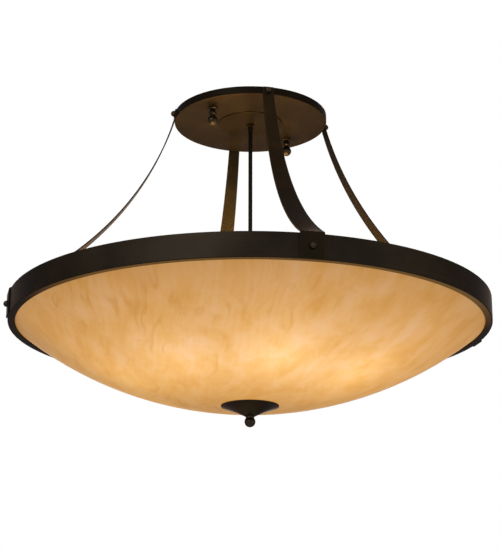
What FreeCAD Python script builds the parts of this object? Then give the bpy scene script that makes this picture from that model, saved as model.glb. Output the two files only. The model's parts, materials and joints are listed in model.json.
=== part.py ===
import FreeCAD, Part
import math
import os
from FreeCAD import Vector

# A semi flush ceiling light: a flat round canopy, four tapered straps that sweep out to a wide
# ring, a shallow acrylic bowl resting in the ring, a stem with eight lamps inside the bowl, and
# a spun cap with a ball finial under it. Millimetres, +Z up. The origin is on the ceiling plane,
# on the light's centre line. The front strap lies along -Y and the right strap along +X.

# ---------------------------------------------------------------- driving sizes
# Ceiling bracket, a flat bar across the junction box
bracket_angle = 35.0
bracket_width = 26.0
bracket_thickness = 3.0
bracket_end_margin = 14.0
box_screw_spacing = 88.9
box_screw_hole = 4.8
wire_hole_diameter = 14.0
ground_screw_offset = 24.0
ground_screw_diameter = 4.0
ground_screw_head_diameter = 8.0
ground_screw_head_height = 2.4
ground_screw_slot = 1.0

# Two studs that carry the canopy, with lock nuts, cupped washers and ball thumb nuts
stud_spacing = 217.6
stud_diameter = 6.0
stud_reach_below_canopy = 24.0
stud_nut_across_flats = 10.0
stud_nut_height = 3.0
knob_washer_diameter = 19.0
knob_washer_thickness = 3.0
knob_washer_edge = 0.8
knob_neck_diameter = 10.4
knob_collar_diameter = 15.0
knob_collar_top = 6.6
knob_collar_height = 8.0
knob_ball_diameter = 19.6
knob_ball_drop = 25.5
knob_bore_spare = 1.5

# Canopy pan and the plate under its centre
canopy_radius = 150.4
canopy_height = 15.0
canopy_wall = 1.5
canopy_edge_radius = 2.0
centre_plate_diameter = 128.0
centre_plate_thickness = 1.8
centre_plate_edge = 0.6

# Stem and what holds it
stem_diameter = 7.9
stem_bore = 5.6
stem_top_gap_to_bracket = 2.0
stem_inner_nut_height = 4.0
stem_hex_across_flats = 14.0
stem_hex_height = 4.0
stem_collar_diameter = 10.6
stem_collar_end_diameter = 9.4
stem_collar_height = 12.0
wire_slot_length = 4.0
wire_slot_width = 3.6
wire_slot_lift = 1.0

# Straps
strap_thickness = 2.4
strap_top_width = 21.6
strap_ring_width = 42.4
strap_top_angle = 15.6
strap_top_bend_radius = 3.0
strap_ring_bend_radius = 1.2
strap_top_setback = 0.6
strap_corner_radius = 1.6

# Screws and ball nuts of the straps
strap_screw_diameter = 4.0
strap_screw_head_diameter = 8.0
strap_screw_head_height = 2.6
strap_screw_engagement = 4.6
strap_screw_crown_diameter = 4.4
ball_nut_bore_spare = 1.2
ball_nut_diameter = 12.0
ball_nut_height = 7.4
canopy_screw_depth = 7.4

# Ring
ring_radius = 457.2
ring_top_drop = 393.9
ring_height = 44.3
ring_wall = 2.4
ring_lip_width = 13.7
ring_edge_radius = 1.0

# Bowl
bowl_depth_below_ring = 148.6
bowl_wall = 4.0
bowl_flange_gap = 2.6
bowl_hole_diameter = 8.0

# Lamp cluster
lamp_count = 8
lamp_axis_below_ring = 42.0
cluster_radius = 46.0
cluster_height = 32.0
cluster_wall = 1.6
cluster_cover_overhang = 1.4
cluster_nut_across_flats = 14.0
cluster_nut_height = 4.0
arm_diameter = 9.5
arm_bore = 7.0
arm_inside_cluster = 6.0
arm_nut_across_flats = 15.0
arm_nut_height = 4.0
arm_reach = 152.0
arm_in_socket = 6.0

# Sockets
socket_diameter = 34.0
socket_wall = 2.0
socket_cap_length = 12.0
socket_neck_diameter = 16.0
socket_cap_bulge = 1.5
socket_cap_bulge_from_neck = 3.4
socket_body_length = 40.0
socket_floor_thickness = 6.0
screw_shell_length = 27.0
screw_shell_wall = 0.6
contact_diameter = 8.0
contact_height = 1.5

# Lamps
lamp_base_diameter = 26.2
lamp_base_length = 25.0
lamp_base_wall = 0.6
lamp_tip_diameter = 9.0
lamp_tip_height = 2.0
lamp_tip_flare = 1.0
lamp_base_taper = 3.0
lamp_bulb_diameter = 60.0
lamp_length = 108.0
lamp_glass_wall = 1.0
lamp_neck_insert = 4.0
lamp_neck_angle = 24.0

# Rod under the cluster, bowl clamp, cap and ball finial
rod_diameter = 6.0
coupling_diameter = 13.0
coupling_length = 16.0
coupling_lift = 6.0
rod_nut_across_flats = 10.0
rod_nut_height = 4.0
bowl_washer_diameter = 40.0
bowl_washer_thickness = 2.0
cap_rim_radius = 54.8
cap_rim_height = 1.4
cap_rim_edge = 0.7
cap_flare_radius = 32.0
cap_flare_drop = 9.4
cap_bottom_radius = 9.2
cap_bottom_drop = 20.4
cap_wall = 1.2
cap_boss_height = 4.5
finial_neck_diameter = 15.8
finial_ball_diameter = 20.6
finial_ball_drop = 10.0
rod_in_finial = 12.0
finial_bore_spare = 1.5

# Clearances
slip_fit = 0.05
turning_fit = 0.06
hole_clearance = 0.25
seat_gap = 0.3
curve_gap = 0.08
lip_clearance = 0.4

# ---------------------------------------------------------------- places worked out from the sizes
canopy_underside = -canopy_height
plate_underside = canopy_underside - centre_plate_thickness
canopy_inner_face = canopy_underside + canopy_wall
stem_radius = stem_diameter / 2
stem_hole_radius = stem_radius + hole_clearance
stud_radius = stud_diameter / 2
stud_circle = stud_spacing / 2
rod_radius = rod_diameter / 2
ring_top = -ring_top_drop
ring_bottom = ring_top - ring_height
lip_top = ring_bottom + ring_wall
lip_inner_radius = ring_radius - ring_lip_width
band_inner_radius = ring_radius - ring_wall
ring_screw_z = ring_top - ring_height / 2
canopy_screw_z = -canopy_screw_depth
bowl_bottom = ring_bottom - bowl_depth_below_ring
bowl_edge_radius = lip_inner_radius - lip_clearance
bowl_flange_radius = band_inner_radius - bowl_flange_gap
bowl_rise = lip_top - bowl_bottom
bowl_sphere_radius = (bowl_edge_radius ** 2 + bowl_rise ** 2) / (2 * bowl_rise)
bowl_centre_z = bowl_bottom + bowl_sphere_radius
bowl_inner_radius = bowl_sphere_radius - bowl_wall
lamp_axis = ring_bottom - lamp_axis_below_ring
cluster_top = lamp_axis + cluster_height / 2
cluster_bottom = lamp_axis - cluster_height / 2
cover_bottom = cluster_bottom - cluster_wall
coupling_bottom = cluster_bottom + coupling_lift
coupling_top = coupling_bottom + coupling_length
rod_top = coupling_bottom + coupling_length / 2
socket_start = arm_reach - arm_in_socket
socket_body_start = socket_start + socket_cap_length
shell_start = socket_body_start + socket_floor_thickness
lamp_base_radius = lamp_base_diameter / 2
screw_shell_inner = lamp_base_radius + seat_gap
lamp_start = shell_start + contact_height + seat_gap
lamp_shoulder = lamp_start + lamp_tip_height + lamp_base_length
lamp_tip = lamp_start + lamp_length
lamp_bulb_radius = lamp_bulb_diameter / 2
lamp_bulb_centre = lamp_tip - lamp_bulb_radius
turn_step = 360.0 / lamp_count
strap_angles = {"front": -90.0, "right": 0.0, "back": 90.0, "left": 180.0}
knob_angles = {"left": bracket_angle + 180.0, "right": bracket_angle}
z_axis = Vector(0, 0, 1)
centre = Vector(0, 0, 0)


# ---------------------------------------------------------------- shape helpers
def point(radius, height):
    return Vector(radius, 0, height)


def straight(points):
    """Straight edges from each point to the next."""
    return [Part.makeLine(first, second) for first, second in zip(points[:-1], points[1:])]


def bow(start, middle, end):
    """One round edge through three points."""
    return Part.Arc(start, middle, end).toShape()


def turn_profile(edges):
    """A solid turned about the centre line from a closed outline of (radius, height) edges."""
    face = Part.Face(Part.Wire(Part.__sortEdges__(edges)))
    return face.revolve(centre, z_axis, 360)


def turn_points(points):
    """A turned solid from corner points only."""
    return turn_profile(straight([point(*p) for p in points + [points[0]]]))


def disc(radius, bottom, height):
    return Part.makeCylinder(radius, height, Vector(0, 0, bottom))


def tube(outer, inner, bottom, height):
    return disc(outer, bottom, height).cut(disc(inner, bottom, height))


def hex_nut(across_flats, bore_radius, bottom, height):
    """A six-sided nut with its corners turned down on both faces."""
    corner = across_flats / 2 / math.cos(math.radians(30))
    turns = [math.radians(60 * i) for i in range(7)]
    corners = [Vector(corner * math.cos(turn), corner * math.sin(turn), bottom) for turn in turns]
    prism = Part.Face(Part.makePolygon(corners)).extrude(Vector(0, 0, height))
    turn_down = (corner - across_flats / 2) * math.tan(math.radians(30))
    low, high = bottom, bottom + height
    blank = turn_points([(0, low), (across_flats / 2, low), (corner, low + turn_down),
                         (corner, high - turn_down), (across_flats / 2, high), (0, high)])
    return prism.common(blank).cut(disc(bore_radius, bottom - 1, height + 2))


def ball(diameter, height):
    return Part.makeSphere(diameter / 2, Vector(0, 0, height))


def moved(shape, x, y, z):
    copy = shape.copy()
    copy.translate(Vector(x, y, z))
    return copy


def turned_to(shape, angle):
    """The shape turned about the centre line."""
    copy = shape.copy()
    copy.rotate(centre, z_axis, angle)
    return copy


def laid_along_x(shape, height):
    """A shape built up the Z axis, laid so that its own Z runs out along +X at the given height."""
    copy = shape.copy()
    copy.rotate(centre, Vector(0, 1, 0), 90)
    copy.translate(Vector(0, 0, height))
    return copy


def around(shape, angles):
    """Copies of a shape at each angle, as separate solids in one group."""
    return Part.makeCompound([turned_to(shape, angle) for angle in angles])


def at_knob(shape, side):
    """A shape built on the centre line, carried to one stud's axis."""
    angle = math.radians(knob_angles[side])
    return moved(shape, stud_circle * math.cos(angle), stud_circle * math.sin(angle), 0)


# ---------------------------------------------------------------- ceiling bracket and studs
def make_ceiling_bracket():
    half_length = stud_circle + bracket_end_margin
    end_radius = bracket_width / 2
    bar = Part.makeBox(2 * (half_length - end_radius), bracket_width, bracket_thickness,
                       Vector(end_radius - half_length, -end_radius, -bracket_thickness))
    for side in (-1, 1):
        bar = bar.fuse(moved(disc(end_radius, -bracket_thickness, bracket_thickness),
                             side * (half_length - end_radius), 0, 0))
    bar = bar.removeSplitter()
    cutter = disc(wire_hole_diameter / 2, -bracket_thickness - 1, bracket_thickness + 2)
    bar = bar.cut(cutter)
    holes = [(box_screw_spacing / 2, box_screw_hole / 2), (stud_circle, stud_radius + slip_fit)]
    for place, radius in holes:
        hole = disc(radius, -bracket_thickness - 1, bracket_thickness + 2)
        bar = bar.cut(moved(hole, place, 0, 0)).cut(moved(hole, -place, 0, 0))
    tapped = disc(ground_screw_diameter / 2 + slip_fit, -bracket_thickness - 1, bracket_thickness + 2)
    bar = bar.cut(moved(tapped, -ground_screw_offset, 0, 0))
    return turned_to(bar, bracket_angle)


def make_ground_screw():
    shank = disc(ground_screw_diameter / 2, -bracket_thickness, bracket_thickness)
    head_bottom = -bracket_thickness - ground_screw_head_height
    head = disc(ground_screw_head_diameter / 2, head_bottom, ground_screw_head_height)
    slot = Part.makeBox(ground_screw_head_diameter, ground_screw_slot, ground_screw_slot,
                        Vector(-ground_screw_head_diameter / 2, -ground_screw_slot / 2, head_bottom))
    screw = shank.fuse(head).cut(slot).removeSplitter()
    return turned_to(moved(screw, -ground_screw_offset, 0, 0), bracket_angle)


def make_bracket_studs():
    bottom = canopy_underside - stud_reach_below_canopy
    stud = disc(stud_radius, bottom, -bottom)
    return Part.makeCompound([at_knob(stud, side) for side in knob_angles])


def make_stud_lock_nuts():
    nut = hex_nut(stud_nut_across_flats, stud_radius + slip_fit, -bracket_thickness - stud_nut_height,
                  stud_nut_height)
    return Part.makeCompound([at_knob(nut, side) for side in knob_angles])


def make_knob_washer():
    radius = knob_washer_diameter / 2
    bore = stud_radius + turning_fit
    bottom = canopy_underside - knob_washer_thickness
    return turn_points([(bore, canopy_underside), (radius, canopy_underside),
                        (radius, bottom + knob_washer_edge), (radius - knob_washer_edge, bottom),
                        (bore, bottom)])


def make_thumb_nut():
    """A turned knob: neck, collar and ball, with a blind bore for the stud."""
    top = canopy_underside - knob_washer_thickness
    ball_z = canopy_underside - knob_ball_drop
    neck = disc(knob_neck_diameter / 2, ball_z, top - ball_z)
    collar_top = canopy_underside - knob_collar_top
    half = knob_collar_height / 2
    collar_radius = knob_collar_diameter / 2
    neck_radius = knob_neck_diameter / 2
    middle = collar_top - half
    edges = straight([point(0, collar_top), point(neck_radius, collar_top)])
    edges.append(bow(point(neck_radius, collar_top), point(collar_radius, middle),
                     point(neck_radius, collar_top - knob_collar_height)))
    edges += straight([point(neck_radius, collar_top - knob_collar_height),
                       point(0, collar_top - knob_collar_height), point(0, collar_top)])
    collar = turn_profile(edges)
    knob = neck.fuse(collar).fuse(ball(knob_ball_diameter, ball_z))
    bore_bottom = canopy_underside - stud_reach_below_canopy - knob_bore_spare
    bore = disc(stud_radius + turning_fit, bore_bottom, top - bore_bottom)
    return knob.cut(bore).removeSplitter()


# ---------------------------------------------------------------- canopy
def make_canopy():
    inner_edge = max(canopy_edge_radius - canopy_wall, 0.3)
    outer_corner = math.sqrt(0.5)
    low, high = canopy_underside, canopy_inner_face
    inner = canopy_radius - canopy_wall
    edges = straight([point(stem_hole_radius, high), point(stem_hole_radius, low),
                      point(canopy_radius - canopy_edge_radius, low)])
    edges.append(bow(point(canopy_radius - canopy_edge_radius, low),
                     point(canopy_radius - canopy_edge_radius * (1 - outer_corner),
                           low + canopy_edge_radius * (1 - outer_corner)),
                     point(canopy_radius, low + canopy_edge_radius)))
    edges += straight([point(canopy_radius, low + canopy_edge_radius), point(canopy_radius, 0),
                       point(inner, 0), point(inner, high + inner_edge)])
    edges.append(bow(point(inner, high + inner_edge),
                     point(inner - inner_edge * (1 - outer_corner), high + inner_edge * (1 - outer_corner)),
                     point(inner - inner_edge, high)))
    edges += straight([point(inner - inner_edge, high), point(stem_hole_radius, high)])
    pan = turn_profile(edges)
    for side in knob_angles:
        hole = disc(stud_radius + hole_clearance, low - 1, canopy_wall + 2)
        pan = pan.cut(at_knob(hole, side))
    screw_hole = laid_along_x(disc(strap_screw_diameter / 2 + slip_fit, inner - 2, canopy_wall + 4),
                              canopy_screw_z)
    for angle in strap_angles.values():
        pan = pan.cut(turned_to(screw_hole, angle))
    return pan


def make_canopy_centre_plate():
    radius = centre_plate_diameter / 2
    return turn_points([(stem_hole_radius, canopy_underside), (radius, canopy_underside),
                        (radius, plate_underside + centre_plate_edge),
                        (radius - centre_plate_edge, plate_underside), (stem_hole_radius, plate_underside)])


# ---------------------------------------------------------------- straps
strap_tab_top = -strap_top_setback
strap_top_x = canopy_radius + strap_thickness / 2
strap_ring_x = ring_radius + strap_thickness / 2
top_bend_mid = strap_top_bend_radius + strap_thickness / 2
ring_bend_mid = strap_ring_bend_radius + strap_thickness / 2
top_bend_start = canopy_underside
ring_bend_end = ring_top + seat_gap


def strap_sweep():
    """The long arc's start, end, radius, centre and its angles from the vertical."""
    start_angle = math.radians(strap_top_angle)
    start = (strap_top_x + top_bend_mid * (1 - math.cos(start_angle)),
             top_bend_start - top_bend_mid * math.sin(start_angle))
    end_angle = start_angle
    for _ in range(30):
        end = (strap_ring_x - ring_bend_mid * (1 - math.cos(end_angle)),
               ring_bend_end + ring_bend_mid * math.sin(end_angle))
        chord_angle = math.atan2(end[0] - start[0], start[1] - end[1])
        end_angle = 2 * chord_angle - start_angle
    chord = math.hypot(end[0] - start[0], end[1] - start[1])
    radius = chord / (2 * math.sin(chord_angle - start_angle))
    middle = (start[0] + radius * math.cos(start_angle), start[1] + radius * math.sin(start_angle))
    return start, end, radius, middle, start_angle, end_angle


def arc_about(middle, radius, first, last):
    """A round edge about a centre, between two angles from the vertical, on its lower inner side."""
    spots = [point(middle[0] - radius * math.cos(a), middle[1] - radius * math.sin(a))
             for a in (first, (first + last) / 2, last)]
    return bow(*spots)


def strap_side(offset):
    """One face line of the strap from its top tab to its ring tab, offset outwards from mid thickness."""
    start, end, radius, middle, first, last = strap_sweep()
    top_centre = (strap_top_x + top_bend_mid, top_bend_start)
    ring_centre = (strap_ring_x - ring_bend_mid, ring_bend_end)
    ring_radius_here = ring_bend_mid + offset
    ring_spots = [point(ring_centre[0] + ring_radius_here * math.cos(a),
                        ring_centre[1] + ring_radius_here * math.sin(a)) for a in (last, last / 2, 0)]
    edges = [Part.makeLine(point(strap_top_x + offset, strap_tab_top),
                           point(strap_top_x + offset, top_bend_start)),
             arc_about(top_centre, top_bend_mid - offset, 0, first),
             arc_about(middle, radius - offset, first, last),
             bow(*ring_spots),
             Part.makeLine(point(strap_ring_x + offset, ring_bend_end),
                           point(strap_ring_x + offset, ring_bottom))]
    return edges


def rounded_end(half_width, height, inward):
    """A tab's free end seen from outside: two rounded corners and the straight edge between them."""
    r = strap_corner_radius
    nearly = r * (1 - math.sqrt(0.5))
    edges = [Part.makeLine(Vector(0, r - half_width, height), Vector(0, half_width - r, height))]
    for side in (-1, 1):
        edges.append(bow(Vector(0, side * (half_width - r), height),
                         Vector(0, side * (half_width - nearly), height + inward * nearly),
                         Vector(0, side * half_width, height + inward * r)))
    return edges


def strap_outline():
    """The strap's face outline seen from outside: narrow tab, even taper along the sweep, wide tab."""
    start, end, radius, middle, first, last = strap_sweep()
    half_top, half_ring = strap_top_width / 2, strap_ring_width / 2
    half_way = middle[1] - radius * math.sin((first + last) / 2)
    top_side = strap_tab_top - strap_corner_radius
    ring_side = ring_bottom + strap_corner_radius
    edges = rounded_end(half_top, strap_tab_top, -1) + rounded_end(half_ring, ring_bottom, 1)
    for side in (-1, 1):
        taper_start = Vector(0, side * half_top, start[1])
        taper_middle = Vector(0, side * (half_top + half_ring) / 2, half_way)
        taper_end = Vector(0, side * half_ring, end[1])
        edges.append(Part.makeLine(Vector(0, side * half_top, top_side), taper_start))
        edges.append(bow(taper_start, taper_middle, taper_end))
        edges.append(Part.makeLine(taper_end, Vector(0, side * half_ring, ring_side)))
    return Part.Face(Part.Wire(Part.__sortEdges__(edges)))


def make_strap():
    half = strap_thickness / 2
    caps = [Part.makeLine(point(strap_top_x - half, strap_tab_top), point(strap_top_x + half, strap_tab_top)),
            Part.makeLine(point(strap_ring_x - half, ring_bottom), point(strap_ring_x + half, ring_bottom))]
    section = Part.Face(Part.Wire(Part.__sortEdges__(strap_side(-half) + strap_side(half) + caps)))
    blank_width = strap_ring_width + 4
    blank = moved(section.extrude(Vector(0, blank_width, 0)), 0, -blank_width / 2, 0)
    outline = strap_outline().extrude(Vector(ring_radius * 2, 0, 0))
    strap = blank.common(outline)
    for radius, height in ((canopy_radius, canopy_screw_z), (ring_radius, ring_screw_z)):
        hole = disc(strap_screw_diameter / 2 + slip_fit, radius - 1, strap_thickness + 2)
        strap = strap.cut(laid_along_x(hole, height))
    return strap


def make_strap_screw(seat_radius, wall, height):
    """A pan head screw from inside a round wall, out through the strap and into the ball nut."""
    inside = seat_radius - wall - curve_gap
    end = seat_radius + strap_thickness + strap_screw_engagement
    shank = disc(strap_screw_diameter / 2, inside, end - inside)
    head_radius = strap_screw_head_diameter / 2
    crown_radius = strap_screw_crown_diameter / 2
    crown = inside - strap_screw_head_height
    side = inside - strap_screw_head_height / 3
    head = turn_points([(0, crown), (crown_radius, crown), (head_radius, side), (head_radius, inside),
                        (0, inside)])
    return laid_along_x(shank.fuse(head).removeSplitter(), height)


def make_ball_nut(seat_radius, height):
    """A ball nut, flat where it bears on the strap, with a blind bore for the screw."""
    face = seat_radius + strap_thickness
    radius = ball_nut_diameter / 2
    nut = ball(ball_nut_diameter, face + ball_nut_height - radius)
    nut = nut.cut(disc(radius + 1, face - ball_nut_diameter, ball_nut_diameter))
    bore_depth = strap_screw_engagement + ball_nut_bore_spare
    nut = nut.cut(disc(strap_screw_diameter / 2 + slip_fit, face, bore_depth))
    return laid_along_x(nut, height)


# ---------------------------------------------------------------- ring and bowl
def make_ring_frame():
    """A rolled band with an inward lip along its bottom edge."""
    edge = ring_edge_radius
    corner = edge * (1 - math.sqrt(0.5))
    edges = straight([point(lip_inner_radius, lip_top), point(lip_inner_radius, ring_bottom),
                      point(ring_radius - edge, ring_bottom)])
    edges.append(bow(point(ring_radius - edge, ring_bottom),
                     point(ring_radius - corner, ring_bottom + corner),
                     point(ring_radius, ring_bottom + edge)))
    edges += straight([point(ring_radius, ring_bottom + edge), point(ring_radius, ring_top),
                       point(band_inner_radius, ring_top), point(band_inner_radius, lip_top),
                       point(lip_inner_radius, lip_top)])
    band = turn_profile(edges)
    hole = laid_along_x(disc(strap_screw_diameter / 2 + slip_fit, band_inner_radius - 2, ring_wall + 4),
                        ring_screw_z)
    for angle in strap_angles.values():
        band = band.cut(turned_to(hole, angle))
    return band


def on_sphere(sphere_radius, radius):
    """The height of the bowl's lower or upper face at a radius."""
    return bowl_centre_z - math.sqrt(sphere_radius ** 2 - radius ** 2)


def dish_edge(sphere_radius, first, last):
    middle = (first + last) / 2
    return bow(point(first, on_sphere(sphere_radius, first)), point(middle, on_sphere(sphere_radius, middle)),
               point(last, on_sphere(sphere_radius, last)))


def make_bowl():
    """A shallow dish with a flat flange that rests on the ring's lip."""
    hole = bowl_hole_diameter / 2
    flange_top = lip_top + bowl_wall
    inner_edge = math.sqrt(bowl_inner_radius ** 2 - (bowl_centre_z - flange_top) ** 2)
    edges = [dish_edge(bowl_sphere_radius, hole, bowl_edge_radius)]
    edges += straight([point(bowl_edge_radius, lip_top), point(bowl_flange_radius, lip_top),
                       point(bowl_flange_radius, flange_top), point(inner_edge, flange_top)])
    edges.append(dish_edge(bowl_inner_radius, hole, inner_edge))
    edges.append(Part.makeLine(point(hole, on_sphere(bowl_sphere_radius, hole)),
                               point(hole, on_sphere(bowl_inner_radius, hole))))
    return turn_profile(edges)


# ---------------------------------------------------------------- stem
def make_stem():
    top = -bracket_thickness - stem_top_gap_to_bracket
    stem = tube(stem_radius, stem_bore / 2, rod_top, top - rod_top)
    slot_bottom = coupling_top + wire_slot_lift
    slot = Part.makeBox(stem_diameter, wire_slot_width, wire_slot_length,
                        Vector(0, -wire_slot_width / 2, slot_bottom))
    return stem.cut(slot)


def make_stem_collar():
    top = plate_underside - stem_hex_height
    bore = stem_radius + slip_fit
    return turn_points([(bore, top), (stem_collar_diameter / 2, top),
                        (stem_collar_end_diameter / 2, top - stem_collar_height),
                        (bore, top - stem_collar_height)])


# ---------------------------------------------------------------- lamp cluster
def make_cluster_body():
    """A drum with a closed top and an open bottom, with a hole for each arm in its side."""
    drum = turn_points([(stem_hole_radius, cluster_top), (cluster_radius, cluster_top),
                        (cluster_radius, cluster_bottom), (cluster_radius - cluster_wall, cluster_bottom),
                        (cluster_radius - cluster_wall, cluster_top - cluster_wall),
                        (stem_hole_radius, cluster_top - cluster_wall)])
    hole = laid_along_x(disc(arm_diameter / 2 + slip_fit, cluster_radius - 4, 8), lamp_axis)
    for i in range(lamp_count):
        drum = drum.cut(turned_to(hole, i * turn_step))
    return drum


def make_cluster_cover():
    cover_radius = cluster_radius + cluster_cover_overhang
    return tube(cover_radius, rod_radius + hole_clearance, cover_bottom, cluster_wall)


def make_cluster_lock_nuts():
    bore = stem_radius + slip_fit
    upper = hex_nut(cluster_nut_across_flats, bore, cluster_top, cluster_nut_height)
    lower = hex_nut(cluster_nut_across_flats, bore, cluster_top - cluster_wall - cluster_nut_height,
                    cluster_nut_height)
    return Part.makeCompound([upper, lower])


def make_rod_coupling():
    coupling = disc(coupling_diameter / 2, coupling_bottom, coupling_length)
    coupling = coupling.cut(disc(rod_radius + slip_fit, coupling_bottom - 1, coupling_length))
    return coupling.cut(disc(stem_radius + slip_fit, rod_top, coupling_length))


def make_lamp_arm():
    inner_end = cluster_radius - cluster_wall - arm_inside_cluster
    return laid_along_x(tube(arm_diameter / 2, arm_bore / 2, inner_end, arm_reach - inner_end), lamp_axis)


def make_arm_nut():
    nut = hex_nut(arm_nut_across_flats, arm_diameter / 2 + slip_fit, cluster_radius, arm_nut_height)
    return laid_along_x(nut, lamp_axis)


# ---------------------------------------------------------------- sockets
def make_socket_cap():
    """A flared cap that joins an arm's end to the socket's sleeve."""
    bore = arm_diameter / 2 + slip_fit
    neck = socket_neck_diameter / 2
    outer = socket_diameter / 2
    edges = straight([point(bore, socket_start), point(neck, socket_start)])
    bulge = point((neck + outer) / 2 + socket_cap_bulge, socket_start + socket_cap_bulge_from_neck)
    edges.append(bow(point(neck, socket_start), bulge, point(outer, socket_body_start)))
    edges += straight([point(outer, socket_body_start), point(bore, socket_body_start),
                       point(bore, socket_start)])
    return laid_along_x(turn_profile(edges), lamp_axis)


def make_socket_body():
    inner = socket_diameter / 2 - socket_wall
    sleeve = tube(socket_diameter / 2, inner, socket_body_start, socket_body_length)
    return laid_along_x(sleeve, lamp_axis)


def make_socket_floor():
    radius = socket_diameter / 2 - socket_wall - slip_fit
    floor = disc(radius, socket_body_start, socket_floor_thickness)
    return laid_along_x(floor, lamp_axis)


def make_socket_screw_shell():
    outer = screw_shell_inner + screw_shell_wall
    return laid_along_x(tube(outer, screw_shell_inner, shell_start, screw_shell_length), lamp_axis)


def make_socket_contact():
    return laid_along_x(disc(contact_diameter / 2, shell_start, contact_height), lamp_axis)


# ---------------------------------------------------------------- lamps
def make_lamp_base():
    """A screw base: a thin cup with a contact tip, open where the glass enters."""
    floor = lamp_start + lamp_tip_height
    side = floor + lamp_base_taper
    inner = lamp_base_radius - lamp_base_wall
    tip = lamp_tip_diameter / 2
    base = turn_points([(0, lamp_start), (tip, lamp_start), (tip + lamp_tip_flare, floor),
                        (lamp_base_radius, side), (lamp_base_radius, lamp_shoulder),
                        (inner, lamp_shoulder), (inner, side + lamp_base_wall),
                        (0, side + lamp_base_wall)])
    return laid_along_x(base, lamp_axis)


def glass_outline(wall):
    """For one face of the glass: its neck, where its cone starts and where it meets the round bulb."""
    neck = lamp_base_radius - lamp_base_wall - slip_fit - wall
    radius = lamp_bulb_radius - wall
    slope = math.radians(lamp_neck_angle)
    meet = lamp_bulb_centre - radius * math.sin(slope)
    meet_radius = radius * math.cos(slope)
    cone_start = meet - (meet_radius - neck) / math.tan(slope)
    return neck, cone_start, meet, meet_radius, radius


def make_lamp_glass():
    """A hollow pear shaped glass, open at the neck inside the base."""
    edges = []
    open_end = lamp_shoulder - lamp_neck_insert
    ends = []
    for wall in (0, lamp_glass_wall):
        neck, cone_start, meet, meet_radius, radius = glass_outline(wall)
        cone_start = max(cone_start, open_end + 1.0)
        edges += straight([point(neck, open_end), point(neck, cone_start), point(meet_radius, meet)])
        turn = math.radians(90 + lamp_neck_angle) / 2
        middle = point(radius * math.sin(turn), lamp_bulb_centre + radius * math.cos(turn))
        edges.append(bow(point(meet_radius, meet), middle, point(0, lamp_bulb_centre + radius)))
        ends.append((neck, lamp_bulb_centre + radius))
    edges += straight([point(ends[0][0], open_end), point(ends[1][0], open_end)])
    edges += straight([point(0, ends[0][1]), point(0, ends[1][1])])
    return laid_along_x(turn_profile(edges), lamp_axis)


# ---------------------------------------------------------------- rod, bowl clamp, cap and finial
cap_rim_inner = cap_rim_radius - cap_wall
cap_top = on_sphere(bowl_sphere_radius, cap_rim_inner) - seat_gap
cap_bottom = cap_top - cap_bottom_drop
bowl_washer_bottom = on_sphere(bowl_inner_radius, bowl_washer_diameter / 2) + curve_gap
finial_ball_z = cap_bottom - finial_ball_drop
rod_bottom = cap_bottom - rod_in_finial


def make_finial_rod():
    return disc(rod_radius, rod_bottom, rod_top - rod_bottom)


def make_cover_nut():
    return hex_nut(rod_nut_across_flats, rod_radius + slip_fit, cover_bottom - rod_nut_height, rod_nut_height)


def make_bowl_washer():
    return tube(bowl_washer_diameter / 2, rod_radius + slip_fit, bowl_washer_bottom, bowl_washer_thickness)


def make_bowl_nut():
    return hex_nut(rod_nut_across_flats, rod_radius + slip_fit, bowl_washer_bottom + bowl_washer_thickness,
                   rod_nut_height)


def make_finial_cap():
    """A spun cap: a low rounded rim and a long hollow flare down to the boss that the ball bears on."""
    def spot(radius, drop):
        return point(radius, cap_top - drop)

    bore = rod_radius + turning_fit
    rim_side = cap_rim_height - cap_rim_edge
    rim_corner = cap_rim_edge * (1 - math.sqrt(0.5))
    rim_low = spot(cap_rim_radius - cap_rim_edge, cap_rim_height)
    flare = bow(rim_low, spot(cap_flare_radius, cap_flare_drop), spot(cap_bottom_radius, cap_bottom_drop))
    hub, sweep = flare.Curve.Center, flare.Curve.Radius + cap_wall
    boss_top = cap_top - cap_bottom_drop + cap_boss_height
    boss_radius = hub.x - math.sqrt(sweep ** 2 - (boss_top - hub.z) ** 2)
    rim_inner_z = hub.z + math.sqrt(sweep ** 2 - (hub.x - cap_rim_inner) ** 2)
    middle_radius = (boss_radius + cap_rim_inner) / 2
    middle_z = hub.z + math.sqrt(sweep ** 2 - (hub.x - middle_radius) ** 2)
    edges = straight([spot(cap_rim_inner, 0), spot(cap_rim_radius, 0), spot(cap_rim_radius, rim_side)])
    edges.append(bow(spot(cap_rim_radius, rim_side),
                     spot(cap_rim_radius - rim_corner, cap_rim_height - rim_corner), rim_low))
    edges.append(flare)
    edges += straight([spot(cap_bottom_radius, cap_bottom_drop), spot(bore, cap_bottom_drop),
                       point(bore, boss_top), point(boss_radius, boss_top)])
    edges.append(bow(point(boss_radius, boss_top), point(middle_radius, middle_z),
                     point(cap_rim_inner, rim_inner_z)))
    edges.append(Part.makeLine(point(cap_rim_inner, rim_inner_z), spot(cap_rim_inner, 0)))
    return turn_profile(edges)


def make_finial_ball():
    neck_radius = finial_neck_diameter / 2
    neck = disc(neck_radius, finial_ball_z, cap_bottom - finial_ball_z)
    knob = ball(finial_ball_diameter, finial_ball_z).fuse(neck)
    bore_bottom = rod_bottom - finial_bore_spare
    bore = disc(rod_radius + turning_fit, bore_bottom, finial_ball_z + finial_ball_diameter - bore_bottom)
    return knob.cut(bore).removeSplitter()


# ---------------------------------------------------------------- the assembly
def lamp_angles():
    return [i * turn_step - 90.0 for i in range(lamp_count)]


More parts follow.
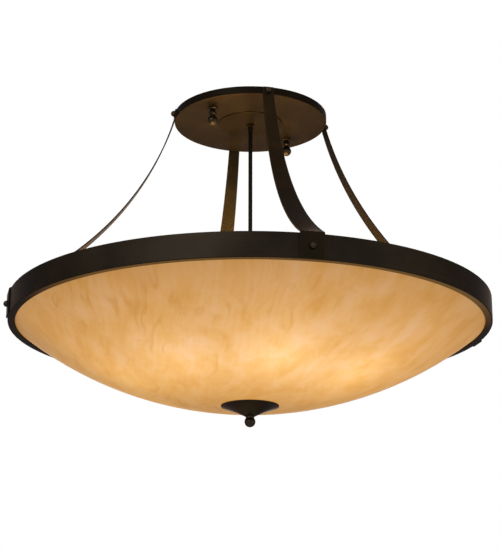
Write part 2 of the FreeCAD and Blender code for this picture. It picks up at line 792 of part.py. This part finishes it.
def all_parts():
    straps = list(strap_angles.values())
    parts = {
        "ceiling_bracket": make_ceiling_bracket(),
        "ground_screw": make_ground_screw(),
        "bracket_studs": make_bracket_studs(),
        "stud_lock_nuts": make_stud_lock_nuts(),
        "canopy": make_canopy(),
        "canopy_centre_plate": make_canopy_centre_plate(),
        "stem": make_stem(),
        "stem_inner_lock_nut": hex_nut(stem_hex_across_flats, stem_radius + slip_fit, canopy_inner_face,
                                       stem_inner_nut_height),
        "stem_hex_nut": hex_nut(stem_hex_across_flats, stem_radius + slip_fit,
                                plate_underside - stem_hex_height, stem_hex_height),
        "stem_collar": make_stem_collar(),
        "strap_canopy_screws": around(make_strap_screw(canopy_radius, canopy_wall, canopy_screw_z), straps),
        "strap_canopy_ball_nuts": around(make_ball_nut(canopy_radius, canopy_screw_z), straps),
        "strap_ring_screws": around(make_strap_screw(ring_radius, ring_wall, ring_screw_z), straps),
        "strap_ring_ball_nuts": around(make_ball_nut(ring_radius, ring_screw_z), straps),
        "ring_frame": make_ring_frame(),
        "bowl": make_bowl(),
        "cluster_body": make_cluster_body(),
        "cluster_cover": make_cluster_cover(),
        "cluster_lock_nuts": make_cluster_lock_nuts(),
        "rod_coupling": make_rod_coupling(),
        "lamp_arms": around(make_lamp_arm(), lamp_angles()),
        "arm_nuts": around(make_arm_nut(), lamp_angles()),
        "socket_caps": around(make_socket_cap(), lamp_angles()),
        "socket_bodies": around(make_socket_body(), lamp_angles()),
        "socket_floors": around(make_socket_floor(), lamp_angles()),
        "socket_screw_shells": around(make_socket_screw_shell(), lamp_angles()),
        "socket_contacts": around(make_socket_contact(), lamp_angles()),
        "finial_rod": make_finial_rod(),
        "cover_nut": make_cover_nut(),
        "bowl_washer": make_bowl_washer(),
        "bowl_nut": make_bowl_nut(),
        "finial_cap": make_finial_cap(),
        "finial_ball": make_finial_ball(),
    }
    strap = make_strap()
    for name, angle in strap_angles.items():
        parts["strap_" + name] = turned_to(strap, angle)
    for side in knob_angles:
        parts["thumb_nut_washer_" + side] = at_knob(make_knob_washer(), side)
        parts["thumb_nut_" + side] = at_knob(make_thumb_nut(), side)
    base, glass = make_lamp_base(), make_lamp_glass()
    for i, angle in enumerate(lamp_angles(), start=1):
        parts["lamp_base_%d" % i] = turned_to(base, angle)
        parts["lamp_glass_%d" % i] = turned_to(glass, angle)
    return parts


os.makedirs("parts", exist_ok=True)
for node, shape in all_parts().items():
    if not shape.isValid() or any(not solid.isClosed() for solid in shape.Solids):
        print("not a closed solid:", node)
    shape.exportStep("parts/%s.step" % node)
    print("%-26s solids %d  volume %10.1f mm3" % (node, len(shape.Solids), shape.Volume))
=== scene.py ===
import json
import math

import bpy
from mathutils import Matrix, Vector


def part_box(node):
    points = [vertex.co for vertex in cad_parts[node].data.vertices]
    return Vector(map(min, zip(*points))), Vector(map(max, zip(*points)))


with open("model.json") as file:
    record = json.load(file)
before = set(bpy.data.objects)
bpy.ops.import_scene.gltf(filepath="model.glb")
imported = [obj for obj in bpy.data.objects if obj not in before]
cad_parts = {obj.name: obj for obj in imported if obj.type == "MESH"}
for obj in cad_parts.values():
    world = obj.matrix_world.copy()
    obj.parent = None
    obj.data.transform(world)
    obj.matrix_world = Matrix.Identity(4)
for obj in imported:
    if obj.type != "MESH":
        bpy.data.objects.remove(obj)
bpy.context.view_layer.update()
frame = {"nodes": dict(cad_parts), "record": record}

# The looks of a semi flush ceiling light: a dark bronze canopy, four curved straps and a rolled ring that
# carries a wide bowl of streaked amber acrylic, lit from inside by eight lamps. Lengths are in metres.

mm = 0.001

# The camera stands where the outlines of the ring, the canopy and the bowl put the photograph's own. Its
# focal length is in the photograph's pixels, and its angles are in degrees.
photo_long_side = 550
focal_pixels = 1555.7
sensor_width_mm = 36.0
camera_distance = 2.861
camera_height = -1.212
camera_azimuth = -12.87
camera_heading = -12.892
camera_pitch = 17.169
camera_roll = -0.096

# The room: a pale floor ten feet below the ceiling, and a white sky that lights things less than it shows.
floor_height = -3.05
floor_width = 80.0
floor_paint = "#f1f0ee"
floor_glow = 0.3
sky_light = 0.55
white = "#ffffff"

# The lamps by number. A share is how much of a lamp's light the bowl gets under it, and the watts are what
# it throws up and out of the bowl.
lamp_shares = {1: 1.07, 2: 1.01, 3: 0.17, 4: 0.39, 5: 0.35, 6: 0.34, 7: 0.75, 8: 0.78}
upward_watts = {1: 4.4, 2: 4.4, 3: 1.3, 4: 7.8, 5: 7.8, 6: 7.8, 7: 1.3, 8: 4.4}
upward_colour = "#ffda98"
lamp_glow = 5.0
lamp_light_size = 50 * mm
lamp_light_lift = 12 * mm

# The light inside the bowl: how bright and how wide it is under a lamp, and what the whole bowl gets, which
# rises a little outwards and falls again towards the rim.
lamp_peak = 0.50
lamp_spread = 114 * mm
even_light = 0.315
outward_rise = 0.430
rim_fall = 0.415

# The brush lines are about 0.2 mm apart; they are drawn at 1.6 mm so that they show.
brush_gap = 1.6 * mm
brush_length = 60 * mm
gaps_along_x = (brush_gap, brush_length, brush_length)
gaps_along_y = (brush_length, brush_gap, brush_length)
gaps_along_z = (brush_length, brush_length, brush_gap)
gaps_along_x_and_y = (brush_gap, brush_gap, brush_length)

# Noise wanders about its middle value. The acrylic's patterns lie in a flat sheet, so their depth doesn't
# show. A place times in_plan is the place without its height.
noise_middle = 0.5
sheet_depth = 1.0
in_plan = (1, 1, 0)


def linear(hex_colour):
    """An sRGB hex colour as linear red, green, blue and alpha."""
    channels = [int(hex_colour[i:i + 2], 16) / 255 for i in (1, 3, 5)]
    return [c / 12.92 if c <= 0.04045 else ((c + 0.055) / 1.055) ** 2.4 for c in channels] + [1.0]


def lamp_place(number):
    """The X and Y of the middle of a lamp's glass, and the Z of its top."""
    low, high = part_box(f"lamp_glass_{number}")
    middle = (low + high) / 2
    return middle.x, middle.y, high.z


def add_node(tree, kind, inputs=None, **settings):
    """Adds one node. Each input is a plain value, an output socket, or a node, which stands for its first
    output in use."""
    made = tree.nodes.new(kind)
    for name, value in settings.items():
        setattr(made, name, value)
    for key, value in (inputs or {}).items():
        if isinstance(value, bpy.types.Node):
            value = next(output for output in value.outputs if output.enabled)
        if isinstance(value, bpy.types.NodeSocket):
            tree.links.new(value, made.inputs[key])
        else:
            made.inputs[key].default_value = value
    return made


def empty_tree(owner):
    """The cleared node tree of a material or a world."""
    owner.use_nodes = True
    owner.node_tree.nodes.clear()
    return owner.node_tree


def new_material(name):
    """An empty material, its node tree and its object coordinates, which are metres in the part's frame."""
    material = bpy.data.materials.new(name)
    tree = empty_tree(material)
    return material, tree, add_node(tree, "ShaderNodeTexCoord").outputs["Object"]


def finished(material, surface):
    """The material with its Principled shader, which has these values and links, and its output."""
    shader = add_node(material.node_tree, "ShaderNodeBsdfPrincipled", surface)
    add_node(material.node_tree, "ShaderNodeOutputMaterial", {"Surface": shader})
    return material


def set_stops(ramp_node, stops):
    """The colour ramp with its stops set from (position, hex colour) pairs."""
    ramp = ramp_node.color_ramp
    while len(ramp.elements) < len(stops):
        ramp.elements.new(1.0)
    for element, (position, colour) in zip(ramp.elements, stops):
        element.position = position
        element.color = linear(colour)
    return ramp_node


def stretched_noise(tree, place, sizes, detail, roughness):
    """Noise whose features have about these sizes along X, Y and Z."""
    scaled = add_node(tree, "ShaderNodeVectorMath", {0: place, 1: [1 / size for size in sizes]},
                      operation="MULTIPLY")
    return add_node(tree, "ShaderNodeTexNoise", {"Vector": scaled, "Scale": 1.0, "Detail": detail,
                                                 "Roughness": roughness})


def mottle(tree, place, patch, detail, tones):
    """Patches of about one size, and the colour that they take from a row of tones."""
    patches = add_node(tree, "ShaderNodeTexNoise", {"Vector": place, "Scale": 1 / patch, "Detail": detail})
    colour = set_stops(add_node(tree, "ShaderNodeValToRGB", {"Fac": patches}), tones)
    return patches, colour


def edge_wear(tree, width, share):
    """The share by which the metal is worn along its edges. An edge shows as the place where a normal that
    is rounded off over its width leaves the true one."""
    wear_starts, wear_full = 0.93, 0.70  # cosines of the angle between the two normals
    rounded = add_node(tree, "ShaderNodeBevel", {"Radius": width}, samples=8)
    true = add_node(tree, "ShaderNodeNewGeometry")
    turn = add_node(tree, "ShaderNodeVectorMath", {0: rounded, 1: true.outputs["Normal"]},
                    operation="DOT_PRODUCT")
    return add_node(tree, "ShaderNodeMapRange", {"Value": turn, "From Min": wear_starts,
                                                 "From Max": wear_full, "To Max": share})


def painted_reflection_on_lip(tree, place):
    """The share of painted reflection on the underside of the ring's lip, on its near side, where a pale
    colour stands in for the bowl's warm light. Each limit is a value, where the lip is left alone and where
    the painted reflection is full."""
    ring_low, ring_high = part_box("ring_frame")
    axes = add_node(tree, "ShaderNodeSeparateXYZ", {"Vector": place})
    flat = add_node(tree, "ShaderNodeVectorMath", {0: place, 1: in_plan}, operation="MULTIPLY")
    reach = add_node(tree, "ShaderNodeVectorMath", {0: flat}, operation="LENGTH")
    inside_the_band = (reach, ring_high.x - 1.5 * mm, ring_high.x - 3.5 * mm)
    near_side = (axes.outputs["Y"], -100 * mm, -300 * mm)
    underside = (axes.outputs["Z"], ring_low.z + 1.0 * mm, ring_low.z + 0.5 * mm)
    reflection_share = 1.0
    for value, none_at, full_at in (inside_the_band, near_side, underside):
        within = add_node(tree, "ShaderNodeMapRange", {"Value": value, "From Min": none_at,
                                                       "From Max": full_at})
        reflection_share = add_node(tree, "ShaderNodeMath", {0: reflection_share, 1: within}, operation="MULTIPLY")
    return reflection_share


def rubbed_dark_bronze(name, line_gaps, tones=("#1e1914", "#221d17", "#28211a"), gloss=(0.36, 0.50),
                       edge_width=0.7 * mm, wear=0.4, painted_shade_above=None, with_painted_lip_reflection=False):
    """Steel with a dark bronze lacquer, sprayed over a brushed ground and rubbed back by hand: satin, nearly
    black brown, and less of a mirror than bare steel, with browner clouds, faint brush lines and paler metal
    along the edges. The brush went along each piece, so the gaps between its lines along X, Y and Z are
    finest across it. Above one height the colour can take a darker painted shade, and the ring's lip can take
    a pale painted reflection of the bowl's warm light."""
    # the first colour below is painted shade, and the third is a painted reflection of the bowl's warm light
    # on the ring's lip
    painted_shade_colour, worn_lacquer, lip_reflection_colour, shine = "#120f0b", "#4d3e2b", "#826a45", "#a59175"
    cloud_size = 60 * mm
    line_share = 0.25
    tone_places = (0.35, 0.52, 0.68)
    painted_shade_blend = 0.2 * mm

    material, tree, place = new_material(name)
    clouds = add_node(tree, "ShaderNodeTexNoise", {"Vector": place, "Scale": 1 / cloud_size, "Detail": 4.0,
                                                   "Roughness": 0.5})
    lines = stretched_noise(tree, place, line_gaps, detail=1.0, roughness=0.5)
    grain = add_node(tree, "ShaderNodeMix", {"Factor": line_share, "A": clouds, "B": lines})
    colour = set_stops(add_node(tree, "ShaderNodeValToRGB", {"Fac": grain}), list(zip(tone_places, tones)))
    # painted shade: above this height the colour goes to a darker tone, which stands in for the shade of the
    # ceiling over the canopy's rim
    if painted_shade_above is not None:
        axes = add_node(tree, "ShaderNodeSeparateXYZ", {"Vector": place})
        darkened_share = add_node(tree, "ShaderNodeMapRange", {"Value": axes.outputs["Z"],
                                                      "From Min": painted_shade_above - painted_shade_blend,
                                                      "From Max": painted_shade_above + painted_shade_blend})
        colour = add_node(tree, "ShaderNodeMix", {"Factor": darkened_share, "A": colour, "B": linear(painted_shade_colour)},
                          data_type="RGBA")
    worn = edge_wear(tree, edge_width, wear)
    colour = add_node(tree, "ShaderNodeMix", {"Factor": worn, "A": colour, "B": linear(worn_lacquer)},
                      data_type="RGBA")
    # painted reflection: on the near underside of the ring's lip, a pale colour stands in for the bowl's warm
    # light reflected there
    if with_painted_lip_reflection:
        colour = add_node(tree, "ShaderNodeMix", {"Factor": painted_reflection_on_lip(tree, place), "A": colour,
                                                  "B": linear(lip_reflection_colour)}, data_type="RGBA")
    roughness = add_node(tree, "ShaderNodeMapRange", {"Value": grain, "To Min": gloss[0],
                                                      "To Max": gloss[1]})
    return finished(material, {"Base Color": colour, "Roughness": roughness, "Metallic": 0.75,
                               "Specular IOR Level": 0.05, "Specular Tint": linear(shine)})


def zinc_plated_steel():
    """Bright zinc plate on turned and pressed steel: pale blue grey, with the cloudy patches that the
    plating bath leaves, and turning lines. These are about 0.2 mm apart, and drawn at 3.2 mm so that they
    show."""
    line_gap = 3.158 * mm
    wave_length = math.tau / 20  # of this texture, at a scale of one
    material, tree, place = new_material("zinc_plated_steel")
    patches, colour = mottle(tree, place, patch=12 * mm, detail=3.0,
                             tones=[(0.3, "#a9adb0"), (0.6, "#c3c5c4"), (0.8, "#cfcfc9")])
    gloss = add_node(tree, "ShaderNodeMapRange", {"Value": patches, "To Min": 0.26, "To Max": 0.42})
    lines = add_node(tree, "ShaderNodeTexWave", {"Vector": place, "Scale": wave_length / line_gap,
                                                 "Distortion": 1.0}, bands_direction="Z")
    relief = add_node(tree, "ShaderNodeBump", {"Height": lines.outputs["Fac"], "Strength": 0.1,
                                               "Distance": 0.05 * mm})
    return finished(material, {"Base Color": colour, "Roughness": gloss, "Metallic": 1.0,
                               "Normal": relief})


def green_enamelled_screw():
    """Green paint on the earth screw, brushed thin enough that the steel shows lighter through it."""
    material, tree, place = new_material("green_enamelled_screw")
    cover, colour = mottle(tree, place, patch=2 * mm, detail=3.0,
                           tones=[(0.35, "#1f6a33"), (0.6, "#2d8445"), (0.85, "#6fa37c")])
    gloss = add_node(tree, "ShaderNodeMapRange", {"Value": cover, "To Min": 0.3, "To Max": 0.5})
    return finished(material, {"Base Color": colour, "Roughness": gloss, "Metallic": 0.3})


def socket_brass():
    """Drawn brass of the socket shells and caps: warm yellow, lightly tarnished in patches, which are the
    duller ones."""
    material, tree, place = new_material("socket_brass")
    polish, colour = mottle(tree, place, patch=9 * mm, detail=4.0,
                            tones=[(0.3, "#8f7136"), (0.55, "#b8944c"), (0.8, "#caa863")])
    gloss = add_node(tree, "ShaderNodeMapRange", {"Value": polish, "To Min": 0.42, "To Max": 0.24})
    return finished(material, {"Base Color": colour, "Roughness": gloss, "Metallic": 1.0})


def moulded_phenolic():
    """Black phenolic resin of the socket bodies, pressed in a hot mould: a dull sheen with fine filler
    specks. These are about 0.1 mm across, and drawn at 0.8 mm so that they show."""
    material, tree, place = new_material("moulded_phenolic")
    filler, colour = mottle(tree, place, patch=0.8 * mm, detail=2.0,
                            tones=[(0.4, "#161413"), (0.62, "#211e1b"), (0.75, "#35302a")])
    relief = add_node(tree, "ShaderNodeBump", {"Height": filler, "Strength": 0.1, "Distance": 0.05 * mm})
    return finished(material, {"Base Color": colour, "Roughness": 0.5, "IOR": 1.6, "Normal": relief})


def moulded_rubber():
    """The soft black washer under the bowl: matt, with a pale bloom in places."""
    material, tree, place = new_material("moulded_rubber")
    _, colour = mottle(tree, place, patch=6 * mm, detail=3.0, tones=[(0.4, "#141414"), (0.7, "#242322")])
    return finished(material, {"Base Color": colour, "Roughness": 0.8, "IOR": 1.52})


def rolled_lamp_cap():
    """Thin aluminium of the lamps' screw caps, rolled to its thread: silvery, and stained a little duller in
    places by handling."""
    material, tree, place = new_material("rolled_lamp_cap")
    stain, colour = mottle(tree, place, patch=8 * mm, detail=3.0, tones=[(0.3, "#b4b3ae"), (0.7, "#d4d3ce")])
    gloss = add_node(tree, "ShaderNodeMapRange", {"Value": stain, "To Min": 0.25, "To Max": 0.38})
    return finished(material, {"Base Color": colour, "Roughness": gloss, "Metallic": 1.0})


def lit_frosted_glass():
    """Lamp glass with a fine white coat inside, lit: it glows warm white, a little unevenly."""
    material, tree, place = new_material("lit_frosted_glass")
    _, glow = mottle(tree, place, patch=25 * mm, detail=2.0, tones=[(0.3, "#ffd79c"), (0.7, "#ffe2b4")])
    return finished(material, {"Base Color": linear("#f4efe4"), "Roughness": 0.35, "IOR": 1.5,
                               "Emission Color": glow, "Emission Strength": lamp_glow})


def lamp_light_on(tree, place):
    """How brightly the lamps light each point of the bowl, from its distances in plan to each lamp and to
    the bowl's middle. Light on a sheet under a lamp falls with the cube of the slant from the lamp."""
    flat = add_node(tree, "ShaderNodeVectorMath", {0: place, 1: in_plan}, operation="MULTIPLY")
    total = even_light
    for number, share in lamp_shares.items():
        x, y, _ = lamp_place(number)
        away = add_node(tree, "ShaderNodeVectorMath", {0: flat, 1: (x, y, 0)}, operation="DISTANCE")
        spreads = add_node(tree, "ShaderNodeMath", {0: away, 1: lamp_spread}, operation="DIVIDE")
        slant_squared = add_node(tree, "ShaderNodeMath", {0: spreads, 1: spreads, 2: 1.0},
                                 operation="MULTIPLY_ADD")
        light = add_node(tree, "ShaderNodeMath", {0: slant_squared, 1: -3 / 2}, operation="POWER")
        total = add_node(tree, "ShaderNodeMath", {0: light, 1: share * lamp_peak, 2: total},
                         operation="MULTIPLY_ADD")
    out = add_node(tree, "ShaderNodeVectorMath", {0: flat}, operation="LENGTH")
    ring_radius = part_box("ring_frame")[1].x
    outward = add_node(tree, "ShaderNodeMath", {0: out, 1: ring_radius}, operation="DIVIDE")
    for power, gain in ((2.0, outward_rise), (4.0, -rim_fall)):
        raised = add_node(tree, "ShaderNodeMath", {0: outward, 1: power}, operation="POWER")
        total = add_node(tree, "ShaderNodeMath", {0: raised, 1: gain, 2: total}, operation="MULTIPLY_ADD")
    return total


def stirred(tree, place):
    """The X and Y from which the dye at each point came: it was stirred, and a slow swirl pushed it aside."""
    swirl_size = 150 * mm
    swirl_reach = (55 * mm, 100 * mm, 0.0)
    swirl = add_node(tree, "ShaderNodeTexNoise", {"Vector": place, "Scale": 1 / swirl_size, "Detail": 2.0,
                                                  "Roughness": 0.5})
    push = add_node(tree, "ShaderNodeVectorMath", {0: swirl.outputs["Color"], 1: [noise_middle] * 3},
                    operation="SUBTRACT")
    pushed = add_node(tree, "ShaderNodeVectorMath", {0: push, 1: swirl_reach, 2: place},
                      operation="MULTIPLY_ADD")
    axes = add_node(tree, "ShaderNodeSeparateXYZ", {"Vector": pushed})
    return axes.outputs["X"], axes.outputs["Y"]


def stain_on(tree, sheet, pulled):
    """The share of brown stain: drops of dye, and veins, which run where a drawn-out noise crosses its
    middle value, break off between patches and keep to where the sheet was pulled."""
    vein_half_width = 0.055
    veins_from, veins_full = 0.50, 0.62
    drops_from, drops_full = 0.60, 0.80
    most_stain = 0.5

    drawn = stretched_noise(tree, sheet, (30 * mm, 170 * mm, sheet_depth), detail=1.5, roughness=0.55)
    patches = stretched_noise(tree, sheet, (70 * mm, 100 * mm, sheet_depth), detail=1.0, roughness=0.55)
    drops = stretched_noise(tree, sheet, (26 * mm, 48 * mm, sheet_depth), detail=3.0, roughness=0.55)
    off_middle = add_node(tree, "ShaderNodeMath", {0: drawn, 1: noise_middle}, operation="SUBTRACT")
    off_middle = add_node(tree, "ShaderNodeMath", {0: off_middle}, operation="ABSOLUTE")
    vein = add_node(tree, "ShaderNodeMapRange", {"Value": off_middle, "From Min": vein_half_width,
                                                 "From Max": 0.0})
    patch = add_node(tree, "ShaderNodeMapRange", {"Value": patches, "From Min": veins_from,
                                                  "From Max": veins_full})
    veins = add_node(tree, "ShaderNodeMath", {0: vein, 1: patch}, operation="MULTIPLY")
    veins = add_node(tree, "ShaderNodeMath", {0: veins, 1: pulled}, operation="MULTIPLY")
    spots = add_node(tree, "ShaderNodeMapRange", {"Value": drops, "From Min": drops_from,
                                                  "From Max": drops_full})
    stained = add_node(tree, "ShaderNodeMath", {0: veins, 1: spots}, operation="MAXIMUM")
    return add_node(tree, "ShaderNodeMath", {0: stained, 1: most_stain}, operation="MULTIPLY")


def dyed(tree, along_x, along_y):
    """The dye's colour: soft clouds with fine fibres in them, and brown stain. The sheet was pulled along Y
    while it was soft, drew together towards its far side, and shows the pull most on its left."""
    left, right = -20 * mm, 160 * mm
    pull_at_right = 0.15
    most_fibres = 0.24

    narrowing = add_node(tree, "ShaderNodeMath", {0: 1.0, 1: along_y}, operation="SUBTRACT")
    across = add_node(tree, "ShaderNodeMath", {0: along_x, 1: narrowing}, operation="DIVIDE")
    sheet = add_node(tree, "ShaderNodeCombineXYZ", {"X": across, "Y": along_y})
    clouds = stretched_noise(tree, sheet, (48 * mm, 75 * mm, sheet_depth), detail=5.0, roughness=0.62)
    fibres = stretched_noise(tree, sheet, (6 * mm, 130 * mm, sheet_depth), detail=2.0, roughness=0.55)
    pulled = add_node(tree, "ShaderNodeMapRange", {"Value": along_x, "From Min": left, "From Max": right,
                                                   "To Min": 1.0, "To Max": pull_at_right})
    fibred = add_node(tree, "ShaderNodeMath", {0: pulled, 1: most_fibres}, operation="MULTIPLY")
    dye = add_node(tree, "ShaderNodeMix", {"Factor": fibred, "A": clouds, "B": fibres})
    tone = set_stops(add_node(tree, "ShaderNodeValToRGB", {"Fac": dye}),
                     [(0.30, "#f2b45f"), (0.46, "#f9bf72"), (0.54, "#fcc57e"), (0.70, "#ffcd96")])
    return add_node(tree, "ShaderNodeMix", {"Factor": stain_on(tree, sheet, pulled), "A": tone,
                                            "B": linear("#e3a041")}, data_type="RGBA")


def light_let_through(tree, along_x, along_y, level):
    """What the sheet lets through of each colour, where the lamps light it this brightly. Little light comes
    through redder. The dye lies thicker towards the far right, and the whole far half lets less through."""
    dim, bright = 0.45, 1.0
    gains_where_dim = (1.07, 0.97, 0.90)
    gains_where_bright = (1.0, 1.04, 1.22)
    lean_to_the_right = 0.22
    thick_from, thick_full = -260 * mm, 50 * mm
    far_from, far_full = -60 * mm, 60 * mm
    far_share = 0.78
    thick_dye = "#f7eaaa"

    warmth = add_node(tree, "ShaderNodeMapRange", {"Value": level, "From Min": dim, "From Max": bright})
    gains = add_node(tree, "ShaderNodeMix", {"Factor": warmth, "A": gains_where_dim,
                                             "B": gains_where_bright}, data_type="VECTOR")
    far_right = add_node(tree, "ShaderNodeMath", {0: along_x, 1: lean_to_the_right, 2: along_y},
                         operation="MULTIPLY_ADD")
    darkened_share = add_node(tree, "ShaderNodeMapRange", {"Value": far_right, "From Min": thick_from,
                                                  "From Max": thick_full})
    filtered = add_node(tree, "ShaderNodeMix", {"Factor": darkened_share, "A": linear(white),
                                                "B": linear(thick_dye)}, data_type="RGBA")
    far = add_node(tree, "ShaderNodeMapRange", {"Value": along_y, "From Min": far_from,
                                                "From Max": far_full, "To Min": 1.0, "To Max": far_share})
    amount = add_node(tree, "ShaderNodeMath", {0: level, 1: far}, operation="MULTIPLY")
    passed = add_node(tree, "ShaderNodeVectorMath", {0: gains, 1: filtered}, operation="MULTIPLY")
    return add_node(tree, "ShaderNodeVectorMath", {0: passed, "Scale": amount}, operation="SCALE")


def streaked_amber_acrylic():
    """Cast acrylic sheet with amber and cream dye stirred through it, formed hot over a mould: soft clouds,
    a few thin darker veins that the stirring drew out along the sheet, small brown drops of dye, and a glow
    where a lamp stands close behind it."""
    unlit_share = 0.12
    material, tree, place = new_material("streaked_amber_acrylic")
    along_x, along_y = stirred(tree, place)
    tone = dyed(tree, along_x, along_y)
    passed = light_let_through(tree, along_x, along_y, lamp_light_on(tree, place))
    glow = add_node(tree, "ShaderNodeVectorMath", {0: tone, 1: passed}, operation="MULTIPLY")
    body = add_node(tree, "ShaderNodeVectorMath", {0: tone, "Scale": unlit_share}, operation="SCALE")
    return finished(material, {"Base Color": body, "Roughness": 0.5, "IOR": 1.49,
                               "Specular IOR Level": 0.05, "Emission Color": glow,
                               "Emission Strength": 1.0})


def slot_finishes():
    """The finish of each material slot. The bronze is that of the front and back straps, whose edges are
    rubbed most, of the canopy's centre plate and of the fittings at the stem's top."""
    return {
        "bronze": rubbed_dark_bronze("rubbed_dark_bronze", gaps_along_x,
                                     tones=("#1b160e", "#1e1910", "#241d14"), edge_width=1.3 * mm, wear=0.7),
        "zinc_steel": zinc_plated_steel(),
        "green_screw": green_enamelled_screw(),
        "amber_acrylic": streaked_amber_acrylic(),
        "socket_brass": socket_brass(),
        "phenolic": moulded_phenolic(),
        "rubber": moulded_rubber(),
        "lamp_cap": rolled_lamp_cap(),
        "lamp_glass": lit_frosted_glass(),
    }


def bronze_variants():
    """The bronze of each piece that is brushed or rubbed in a way of its own, or that carries painted shade
    or a painted reflection.
    """
    # the side straps lie across the others, and are darker, duller and hardly rubbed along their edges
    side_strap = rubbed_dark_bronze("rubbed_dark_bronze_side_strap", gaps_along_y,
                                    tones=("#191510", "#1d1813", "#221c16"), gloss=(0.42, 0.56),
                                    edge_width=0.4 * mm, wear=0.1)
    # the ring's lip carries a painted reflection of the bowl's warm light on its near underside
    ring = rubbed_dark_bronze("rubbed_dark_bronze_ring_painted_reflection", gaps_along_z, with_painted_lip_reflection=True)
    # the canopy's rim carries painted shade: from just above its lowest face upwards it is darker, where the
    # ceiling would shade it
    canopy = rubbed_dark_bronze("rubbed_dark_bronze_canopy_painted_shade", gaps_along_x,
                                painted_shade_above=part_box("canopy")[0].z + 0.4 * mm)
    # the stem is bare tube, in darker tones that are painted shade
    stem = rubbed_dark_bronze("rubbed_dark_bronze_stem_painted_shade", gaps_along_x_and_y,
                              tones=("#110e0a", "#14110c", "#18130e"))
    # the turned and spun pieces are smoother, so more of the lacquer rubs off them
    turned = rubbed_dark_bronze("rubbed_dark_bronze_turned", gaps_along_z,
                                tones=("#27221a", "#302920", "#3b3326"), gloss=(0.24, 0.36))
    turned_pieces = ("thumb_nut_left", "thumb_nut_right", "thumb_nut_washer_left", "thumb_nut_washer_right",
                     "finial_cap", "finial_ball", "strap_canopy_ball_nuts", "strap_ring_ball_nuts")
    return {"strap_left": side_strap, "strap_right": side_strap, "ring_frame": ring, "canopy": canopy,
            "stem": stem, **dict.fromkeys(turned_pieces, turned)}


def dress_cad_nodes():
    """Every CAD node takes its own bronze, or else the finish of its material slot."""
    slots = slot_finishes()
    variants = bronze_variants()
    for row in frame["record"]["subparts"]:
        mesh = frame["nodes"][row["node"]].data
        mesh.materials.clear()
        mesh.materials.append(variants.get(row["node"], slots[row["material_slot"]]))


def shown_rays(tree):
    """One for the rays that show a background: the camera's own, and those that metal or glass sends on."""
    ray = add_node(tree, "ShaderNodeLightPath")
    seen = ray.outputs["Is Camera Ray"]
    for sent_on in ("Is Glossy Ray", "Is Transmission Ray"):
        seen = add_node(tree, "ShaderNodeMath", {0: seen, 1: ray.outputs[sent_on]}, operation="MAXIMUM")
    return seen


def make_floor():
    """A plain pale floor that keeps the light's shadow. From below it is clear, so that a camera under it
    still sees the light."""
    bpy.ops.mesh.primitive_plane_add(size=floor_width, location=(0, 0, floor_height))
    floor = bpy.context.object
    floor.name = "floor"
    material = bpy.data.materials.new("pale_floor")
    tree = empty_tree(material)
    glow = add_node(tree, "ShaderNodeMapRange", {"Value": shown_rays(tree), "To Max": floor_glow})
    paint = add_node(tree, "ShaderNodeBsdfPrincipled", {"Base Color": linear(floor_paint), "Roughness": 0.9,
                                                        "Emission Color": linear(white),
                                                        "Emission Strength": glow})
    clear = add_node(tree, "ShaderNodeBsdfTransparent")
    side = add_node(tree, "ShaderNodeNewGeometry")
    shown = add_node(tree, "ShaderNodeMixShader", {0: side.outputs["Backfacing"], 1: paint, 2: clear})
    add_node(tree, "ShaderNodeOutputMaterial", {"Surface": shown})
    floor.data.materials.append(material)


def make_world():
    """White for the camera and in reflections, and a plain even sky for the light that falls on things."""
    world = bpy.data.worlds.new("studio")
    bpy.context.scene.world = world
    tree = empty_tree(world)
    strength = add_node(tree, "ShaderNodeMapRange", {"Value": shown_rays(tree), "To Min": sky_light,
                                                     "To Max": 1.0})
    sky = add_node(tree, "ShaderNodeBackground", {"Color": linear(white), "Strength": strength})
    add_node(tree, "ShaderNodeOutputWorld", {"Surface": sky})


def place_light(light, spot, watts, colour):
    """Puts a light in the scene, unseen by the camera."""
    light.energy = watts
    light.color = linear(colour)[:3]
    holder = bpy.data.objects.new(light.name, light)
    holder.location = spot
    holder.visible_camera = False
    bpy.context.scene.collection.objects.link(holder)
    return holder


def add_soft_light(name, spot, size, watts, colour=white, shape="SQUARE"):
    """A soft box, or a disk, that faces the middle of the light."""
    middle = Vector((0, 0, -0.3))
    light = bpy.data.lights.new(name, "AREA")
    light.shape = shape
    light.size = size
    holder = place_light(light, spot, watts, colour)
    holder.rotation_euler = (middle - Vector(spot)).to_track_quat("-Z", "Y").to_euler()


def add_lamp_light(number, watts):
    """The light that one lamp throws up and out of the bowl, from just above its glass."""
    x, y, top = lamp_place(number)
    light = bpy.data.lights.new(f"lamp_light_{number}", "POINT")
    light.shadow_soft_size = lamp_light_size
    place_light(light, (x, y, top + lamp_light_lift), watts, upward_colour)


def make_lights():
    """Two soft boxes in front, one behind, what the ceiling sends back of the bowl's warm light, and that
    light itself, lamp by lamp."""
    add_soft_light("ceiling_bounce", spot=(0, 0, 0.5), size=2.4, watts=6, colour="#ffc080", shape="DISK")
    add_soft_light("key_softbox", spot=(-2.6, -3.0, 0.6), size=2.2, watts=60)
    add_soft_light("fill_softbox", spot=(3.0, -2.2, -0.6), size=2.2, watts=22)
    add_soft_light("back_softbox", spot=(0.5, 3.2, 0.8), size=2.2, watts=30)
    for number, watts in upward_watts.items():
        add_lamp_light(number, watts)


def make_camera():
    """The photograph's camera."""
    camera = bpy.data.cameras.new("camera")
    camera.sensor_width = sensor_width_mm
    camera.lens = focal_pixels * sensor_width_mm / photo_long_side
    holder = bpy.data.objects.new("camera", camera)
    azimuth = math.radians(camera_azimuth)
    holder.location = (camera_distance * math.sin(azimuth), -camera_distance * math.cos(azimuth),
                       camera_height)
    holder.rotation_euler = (math.radians(90 + camera_pitch), math.radians(camera_roll),
                             math.radians(camera_heading))
    bpy.context.scene.collection.objects.link(holder)
    bpy.context.scene.camera = holder


dress_cad_nodes()
make_floor()
make_world()
make_lights()
make_camera()
bpy.context.scene.view_settings.view_transform = "Standard"
